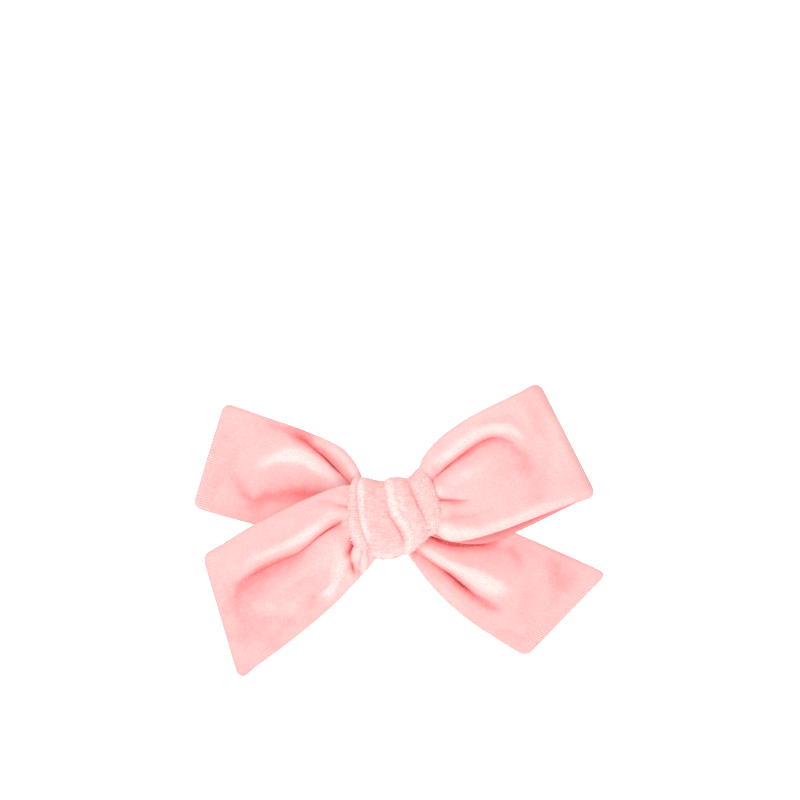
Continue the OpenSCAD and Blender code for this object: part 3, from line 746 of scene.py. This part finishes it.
def twisted_thread(name, paths, radius):
    """Two-ply thread along each path: a pair of strands wound round each other."""
    skins = []
    for path in paths:
        line = smooth_line(path, step=THREAD_STEP)
        side, rise = square_to(line)
        wind = np.arange(len(line)) * THREAD_STEP * 2 * math.pi / THREAD_TWIST
        thin = np.ones(len(line))
        thin[[0, -1]] = 0.45
        for phase in (0, math.pi):
            swing = np.cos(wind + phase)[:, None] * side + np.sin(wind + phase)[:, None] * rise
            skins.append(tube(line + 0.5 * radius * swing, side, rise, 0.56 * radius * thin, 8))
    return joined(name, skins)


# Where loose pile stands on the wrap: how many fibres, then the lowest and highest row (59 is the
# middle of the front, 118 the bottom) and the lowest and highest share across, from left to right.
PILE_ZONES = [
    (150, (96, 118), (0.25, 0.95)),
    (190, (76, 112), (0.70, 0.965)),
    (70, (36, 92), (0.90, 0.965)),
    (40, (30, 104), (0.03, 0.07)),
]


def pile_fibre(rng, rows, shares):
    """The skin of one fibre, rooted in the wrap and curled along it."""
    row, col = int(rng.uniform(*rows)), int(rng.uniform(*shares) * (KNOT_SKIN.shape[1] - 1))
    root, up = KNOT_SKIN[row, col], KNOT_NORMALS[row, col]
    way = rng.normal(size=3)
    way -= up * (way @ up)
    way /= np.linalg.norm(way)
    length, curl = rng.uniform(0.5, 1.2), rng.uniform(0.1, 0.26)
    arch, bends = rng.uniform(0.22, 0.42), rng.uniform(3, 6)
    s = np.linspace(0, 1, 9)[:, None]
    line = root - 0.06 * up + way * length * s + up * arch * np.sin(2.7 * s)
    line = line + np.cross(up, way) * curl * np.sin(bends * s)
    return tube(line, *square_to(line), np.linspace(0.105, 0.06, len(s)), 6)


def pile_piece():
    """Curly loose pile along the wrap's lower rim and its edges, where it has been rubbed."""
    rng = np.random.default_rng(31)
    skins, tones = [], []
    for count, rows, shares in PILE_ZONES:
        for _ in range(count):
            skins.append(pile_fibre(rng, rows, shares))
            tones += [rng.uniform(0.4, 1.9)] * len(skins[-1][0])
    fields = {"nap": tones, "outer": np.zeros(len(tones))}
    return joined("velvet_loose_pile", skins, fields)


def gather_thread_path(turns=5):
    angle = np.linspace(0, turns * 2 * math.pi, 241)
    r = squarish(angle, WAIST_POWER)
    x = np.linspace(-1.0, 1.0, len(angle))
    return leant(x, KNOT_Y - 4.75 * r * np.cos(angle), 7.75 * r * np.sin(angle))


# A stitch over the overlap at the wrap's back: how far along the overlap each point lies, how high
# up, and how far out of the cloth. Both ends are sunk in it.
STITCH = [(0, -6.9, -0.25), (0.15, -6.6, 0.15), (0.45, -5.9, 0.17), (0.75, -5.2, 0.15),
          (0.9, -4.9, -0.25)]
STITCH_PITCH = 1.8


def stitch_path(k):
    """The path of one stitch, "k" places along from the middle, laid on the wrap's rear face."""
    rear = KNOT_SKIN[KNOT_SKIN[..., 1] > -11]
    path = []
    for along, up, rise in STITCH:
        point = leant(STITCH_PITCH * k + along, 0, up)
        gap = (rear[:, 0] - point[0]) ** 2 + (rear[:, 2] - point[2]) ** 2
        point[1] = rear[np.argmin(gap), 1] + rise
        path.append(point)
    return path


def ribbon_piece():
    """Grosgrain ribbon, ribbed from edge to edge, laid along the bowed plate."""
    x = np.arange(-20.4, 20.41, 0.12)[:, None]
    share = seam_rows(RIBBON_WIDTH, 0.2, 0.4)[None]
    z = (share - 0.5) * RIBBON_WIDTH
    wave = np.sin(x * 2 * math.pi / RIB_PITCH)
    angle, radius = x / RIBBON_R, RIBBON_R + 0.035 * wave
    edge_z = z + np.sign(z) * 0.05 * wave * ease(np.abs(z), 3.4, 3.9)
    y = PLATE_CENTRE_Y - radius * np.cos(angle)
    grid = np.stack(np.broadcast_arrays(radius * np.sin(angle), y, edge_z), axis=-1)
    half = 0.17 * seam_round(from_edge(share, RIBBON_WIDTH), 0.2) + 0 * x
    uv = np.stack(np.broadcast_arrays(x, z), axis=-1)
    return shell("grosgrain_lining_ribbon", grid, half, uv)


def glue_piece():
    """A squeezed bead of glue between ribbon and knot, with an uneven rim."""
    angle = turn_angles(96)
    around = np.stack([np.cos(angle), np.sin(angle)], axis=-1)
    rim = 1 + 0.05 * noise(around * 6, 4.5, 21) + 0.03 * noise(around * 6, 1.8, 22)
    reach = squarish(angle, 3.2) * rim
    rings = []
    for t in np.linspace(-math.pi / 2, math.pi / 2, 15)[1:-1]:
        bulge = (0.86 + 0.14 * math.cos(t)) * (0.3 + 0.7 * math.cos(t) ** 0.35)
        x, z = 5.9 * around[:, 0] * reach * bulge, 3.5 * around[:, 1] * reach * bulge
        ribbon_y = PLATE_CENTRE_Y - np.sqrt((RIBBON_R + 0.2) ** 2 - x**2)
        y = mix(ribbon_y + 0.03, GLUE_FRONT_Y, (1 + math.sin(t)) / 2)
        rings.append(np.stack([x, y, z], axis=-1))
    return joined("hot_glue_bead", [closed_rings(np.array(rings))])


waist = waist_piece()
waist_thread = twisted_thread("gather_thread_coil", [gather_thread_path()], 0.22)
stitch_lines = [stitch_path(k) for k in range(-4, 5)]
stitches = twisted_thread("wrap_closing_whip_stitches", stitch_lines, 0.16)
ribbon = ribbon_piece()
glue = glue_piece()
loose_pile = pile_piece()


# -------- materials
def linear(*levels):
    """An opaque colour from its sRGB levels of 0 to 255."""
    shares = [level / 255 for level in levels]
    return (*[v / 12.92 if v <= 0.04045 else ((v + 0.055) / 1.055) ** 2.4 for v in shares], 1)


class Look:
    """A material with these values on its shader, and short ways to add nodes to it."""

    def __init__(self, name, shader_values):
        self.material = bpy.data.materials.new(name)
        self.material.use_nodes = True
        self.tree = self.material.node_tree
        self.shader = self.tree.nodes["Principled BSDF"]
        for key, value in shader_values.items():
            self.shader.inputs[key].default_value = value

    def plug(self, value, socket):
        if isinstance(value, bpy.types.NodeSocket):
            self.tree.links.new(value, socket)
        else:
            socket.default_value = value

    def node(self, kind, *inputs, **settings):
        made = self.tree.nodes.new("ShaderNode" + kind)
        for key, value in settings.items():
            setattr(made, key, value)
        for slot, value in enumerate(inputs):
            if value is not None:
                self.plug(value, made.inputs[slot])
        return made

    def field(self, key):
        """A number that the mesh holds for each of its points."""
        return self.node("Attribute", attribute_name=key).outputs["Fac"]

    def place(self):
        return self.node("TexCoord").outputs["Object"]

    def strip(self):
        return self.node("UVMap", uv_map="strip").outputs[0]

    def stretched(self, place, scale):
        made = self.node("Mapping", place)
        made.inputs["Scale"].default_value = scale
        return made.outputs[0]

    def noise(self, place, scale, detail, rough):
        return self.node("TexNoise", place, None, scale, detail, rough).outputs["Fac"]

    def bands(self, place, direction, *shape):
        """Bands across X or Y: their scale, distortion, detail, detail's scale and roughness."""
        return self.node("TexWave", place, *shape, bands_direction=direction).outputs["Fac"]

    def maths(self, operation, a, b, c=None, clamp=False):
        return self.node("Math", a, b, c, operation=operation, use_clamp=clamp).outputs[0]

    def weighed(self, a, share, b=0.0):
        """a times share, plus b."""
        return self.maths("MULTIPLY_ADD", a, share, b)

    def centred(self, value):
        return self.maths("SUBTRACT", value, 0.5)

    def spread(self, value, low, high, to_low=0.0, to_high=1.0):
        """The value eased from one range to another."""
        ranges = (low, high, to_low, to_high)
        return self.node("MapRange", value, *ranges, interpolation_type="SMOOTHSTEP").outputs[0]

    def blend(self, share, a, b):
        made = self.node("Mix", data_type="RGBA", clamp_factor=True)
        for slot, value in ((0, share), (6, a), (7, b)):
            self.plug(value, made.inputs[slot])
        return made.outputs[2]

    def finish(self, colour, height, strength, distance, roughness=None):
        """The material with its colour, a bump from the height and, where it varies, roughness."""
        bump = self.node("Bump", strength, distance)
        self.plug(height, bump.inputs["Height"])
        self.plug(bump.outputs["Normal"], self.shader.inputs["Normal"])
        self.plug(colour, self.shader.inputs["Base Color"])
        if roughness:
            self.plug(roughness, self.shader.inputs["Roughness"])
        return self.material


# From the darkest: the crease, deep and valley colours are painted shade for hollows and dark strokes, and
# pale is painted highlight for ridges and pale strokes; valley also darkens the grain, and plain and fleck
# are the cloth's own pink and its pale flecks.
VELVET_COLOURS = {
    "crease_shadow": linear(150, 62, 55),
    "deep": linear(234, 98, 100),
    "valley": linear(248, 150, 152),
    "plain": linear(247, 188, 186),
    "pale_highlight": linear(249, 222, 218),
    "fleck": linear(253, 238, 234),
}
PILE_SHEEN = {"Sheen Weight": 0.3, "Sheen Tint": linear(255, 196, 190)}


def velvet_material(name="velvet", ribs="Y", rib_floor=0.1, rough=1.0, dashes=0.0):
    """Short pile: painted shade where it stands in a hollow, painted highlight where it runs over a ridge.
    """
    surface = {"Roughness": 0.92, "Sheen Roughness": 0.4, "Specular IOR Level": 0.12}
    look = Look(name, PILE_SHEEN | surface)
    maths, weighed, spread, centred = look.maths, look.weighed, look.spread, look.centred
    place, uv = look.place(), look.strip()
    cloud = look.noise(place, 110.0, 3.0, 0.5)
    patch = look.noise(place, 420.0, 4.0, 0.6)
    grain = look.noise(place, 2800.0, 2.0, 0.6)
    pile = look.noise(place, 5200.0, 2.0, 0.5)

    # Tone is below 0 where shade is painted in a hollow and above 0 where a highlight is painted on a
    # ridge.
    tone = weighed(look.field("fine"), -1.9, look.field("nap"))
    tone = weighed(look.field("broad"), -0.38, tone)
    tone = weighed(centred(cloud), 1.0, tone)
    tone = weighed(centred(patch), 0.55, tone)
    lightness = spread(tone, 0.0, 1.3)

    # The grain of the pile shows most where a highlight is painted, and its ribs near the ends.
    speckle = weighed(centred(grain), weighed(lightness, 1.0, 1.2))
    wave = look.bands(uv, ribs, 4.6, 2.4, 2.0, 4.0, 0.65)
    dash = look.noise(look.stretched(uv, (20, 5, 1)), 1.0, 2.0, 0.6)
    rib_share = spread(look.field("outer"), 0.8, 1.0, rib_floor, 1.1)
    rib_share = weighed(rib_share, spread(cloud, 0.43, 0.58))
    rib_tone = weighed(centred(wave), rib_share)
    texture = weighed(rib_tone, 0.75 * rough, weighed(speckle, rough))
    texture = weighed(centred(dash), dashes, texture)

    c = VELVET_COLOURS
    colour = look.blend(spread(tone, 0.05, -0.95), c["plain"], c["valley"])
    colour = look.blend(spread(tone, -0.9, -2.4), colour, c["deep"])
    colour = look.blend(spread(tone, -2.0, -3.6), colour, c["crease_shadow"])
    colour = look.blend(lightness, colour, c["pale_highlight"])
    colour = look.blend(maths("MAXIMUM", texture, 0.0, clamp=True), colour, c["fleck"])
    colour = look.blend(maths("MULTIPLY", texture, -1.0, clamp=True), colour, c["valley"])
    height = weighed(rib_tone, 0.8, weighed(pile, 0.5, weighed(grain, 0.9)))
    return look.finish(colour, height, 0.55, 0.00022)


def pile_material():
    """The velvet's own fibres standing loose, each with its own paleness."""
    look = Look("loose_pile", PILE_SHEEN)
    strand = look.noise(look.place(), 1500.0, 2.0, 0.5)
    paleness = look.spread(look.weighed(strand, 0.8, look.field("nap")), 0.5, 1.7)
    colour = look.blend(paleness, VELVET_COLOURS["plain"], VELVET_COLOURS["fleck"])
    return look.finish(colour, strand, 0.2, 0.00001, look.spread(strand, 0.3, 0.7, 0.6, 0.85))


def steel_material(name, light, dark, rough):
    """Rolled steel: fine scratches along the sheet, and a few smudges."""
    look = Look(name, {"Metallic": 1.0, "Anisotropic": 0.35})
    place = look.place()
    scratch = look.noise(look.stretched(place, (180, 4200, 4200)), 1.0, 4.0, 0.6)
    smudge = look.noise(place, 260.0, 4.0, 0.55)
    wear = look.weighed(smudge, 0.3, look.weighed(scratch, 0.7))
    colour = look.blend(look.spread(wear, 0.35, 0.65), (*dark, 1), (*light, 1))
    roughness = look.spread(wear, 0.3, 0.7, rough * 1.2, rough * 0.85)
    return look.finish(colour, scratch, 0.07, 0.00002, roughness)


def ribbon_material():
    """Grosgrain: close ribs across the ribbon, crossed by fine warp threads."""
    look = Look("grosgrain_ribbon", {"Roughness": 0.6, "Sheen Weight": 0.2})
    uv = look.strip()
    ribs = look.bands(uv, "X", 4.36, 0.4, 1.0, 2.0, 0.5)
    warp = look.bands(uv, "Y", 13.0, 0.8, 1.0, 2.0, 0.5)
    weave = look.weighed(ribs, 0.65, look.weighed(warp, 0.35))
    colour = look.blend(weave, linear(232, 160, 160), linear(251, 205, 202))
    return look.finish(colour, weave, 0.5, 0.00008)


def glue_material():
    """Milky set glue with small bubbles."""
    look = Look("hot_glue", {"Subsurface Weight": 0.4, "Subsurface Scale": 0.002})
    place = look.place()
    bubbles = look.node("TexVoronoi", place, None, 900.0).outputs["Distance"]
    haze = look.noise(place, 300.0, 4.0, 0.6)
    tone = look.weighed(haze, 0.7, look.weighed(bubbles, 0.3))
    colour = look.blend(tone, linear(214, 208, 190), linear(247, 244, 233))
    return look.finish(colour, tone, 0.4, 0.0001, look.spread(haze, 0.3, 0.7, 0.22, 0.4))


def thread_material():
    """Polyester thread with its fine fibres."""
    look = Look("sewing_thread", {"Roughness": 0.5, "Sheen Weight": 0.3})
    fibres = look.noise(look.place(), 5000.0, 3.0, 0.6)
    colour = look.blend(fibres, linear(232, 152, 154), linear(252, 204, 203))
    return look.finish(colour, fibres, 0.2, 0.00001)


VELVET = velvet_material()
WRAP_VELVET = velvet_material("velvet_wrap", ribs="X", rib_floor=0.16, rough=1.5, dashes=1.3)
LOOSE_PILE = pile_material()
STEELS = {
    name: steel_material(name, light, dark, rough)
    for name, light, dark, rough in (
        ("clip_steel", (0.66, 0.66, 0.67), (0.60, 0.60, 0.62), 0.22),
        ("spring_steel", (0.42, 0.43, 0.46), (0.33, 0.34, 0.37), 0.28),
        ("pin_steel", (0.52, 0.51, 0.49), (0.42, 0.41, 0.40), 0.3),
    )
}

# Each new piece: its material, a slot name, and the CAD node that it stands for.
PIECES = [
    *[(petal, VELVET, "velvet", node) for node, petal in petals.items()],
    (knot, WRAP_VELVET, "velvet", "knot_wrap"),
    (waist, VELVET, "velvet", "gathered_waist"),
    (waist_thread, thread_material(), "thread", "gather_thread"),
    (stitches, thread_material(), "thread", "wrap_closing_stitches"),
    (ribbon, ribbon_material(), "ribbon", "lining_ribbon"),
    (glue, glue_material(), "glue", "glue_pad"),
    (loose_pile, LOOSE_PILE, "velvet", None),
]
for obj, look, slot, node in PIECES:
    obj.data.materials.append(look)
    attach(obj, ROOT)
    if node:
        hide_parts(node)

for node in NODES.values():
    for place in node.material_slots:
        steel = place.material and STEELS.get(place.material.name.split(".")[0])
        if steel:
            place.material = steel

# -------- stage, light and camera
low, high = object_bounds()


def bright_to_camera(tree, socket, lit, seen):
    """The socket's strength is "seen" in the picture's background and "lit" as light on things."""
    ray = tree.nodes.new("ShaderNodeLightPath")
    strength = tree.nodes.new("ShaderNodeMapRange")
    strength.inputs["To Min"].default_value = lit
    strength.inputs["To Max"].default_value = seen
    tree.links.new(ray.outputs["Is Camera Ray"], strength.inputs["Value"])
    tree.links.new(strength.outputs["Result"], socket)


def backdrop(half_width=6000, floor_end=400, sweep_r=300, wall_top=4000, gap=0.3):
    """Floor and wall in one sweep, so that no horizon shows."""
    floor_z = low.z / MM - gap
    angles = np.linspace(0, math.pi / 2, 13)
    sweep_y = floor_end + sweep_r * np.sin(angles)
    sweep_z = floor_z + sweep_r * (1 - np.cos(angles))
    y = [-half_width, *sweep_y, floor_end + sweep_r]
    z = [floor_z, *sweep_z, floor_z + wall_top]
    x = np.array([-half_width, half_width])[None]
    grid = np.stack(np.broadcast_arrays(x, np.array(y)[:, None], np.array(z)[:, None]), axis=-1)
    ids = np.arange(grid[..., 0].size).reshape(-1, 2)
    obj = new_object("backdrop", grid.reshape(-1, 3), quads(ids))
    white = {"Base Color": (0.95, 0.95, 0.95, 1), "Roughness": 0.9, "Emission Color": (1, 1, 1, 1)}
    look = Look("backdrop_white", white)
    bright_to_camera(look.tree, look.shader.inputs["Emission Strength"], 0.35, 1.0)
    obj.data.materials.append(look.material)


def area_light(name, place, size, power, target=(0, -0.014, 0)):
    light = bpy.data.lights.new(name, "AREA")
    light.shape = "RECTANGLE"
    light.size, light.size_y = size
    light.energy = power
    obj = bpy.data.objects.new(name, light)
    obj.location = place
    obj.rotation_mode = "QUATERNION"
    obj.rotation_quaternion = (Vector(target) - Vector(place)).to_track_quat("-Z", "Y")
    bpy.context.scene.collection.objects.link(obj)


backdrop()
area_light("key", (-0.35, -0.50, 0.60), (0.30, 0.30), 1.9)
area_light("front", (-0.12, -0.90, 0.14), (0.35, 0.35), 2.5)
area_light("fill", (0.6, -0.6, 0.15), (0.6, 0.6), 0.5)
area_light("top", (0.0, 0.1, 0.8), (0.6, 0.4), 1.1)

world = bpy.data.worlds.new("studio")
bpy.context.scene.world = world
world.use_nodes = True
air = world.node_tree.nodes["Background"]
air.inputs["Color"].default_value = (1, 1, 1, 1)
bright_to_camera(world.node_tree, air.inputs["Strength"], 0.335, 1.1)

bpy.context.scene.view_settings.view_transform = "Standard"

VIEW_WIDTH = 0.2241  # in metres, across the picture at the knot's front
VIEW_X, VIEW_Y, VIEW_Z = 0.00196, -0.016, 0.0328  # its middle
camera = bpy.data.cameras.new("camera")
camera.lens = 100
camera.sensor_width = 36
eye = bpy.data.objects.new("camera", camera)
bpy.context.scene.collection.objects.link(eye)
eye.location = (VIEW_X, VIEW_Y - VIEW_WIDTH * camera.lens / camera.sensor_width, VIEW_Z)
eye.rotation_euler = (math.pi / 2, 0, 0)
bpy.context.scene.camera = eye
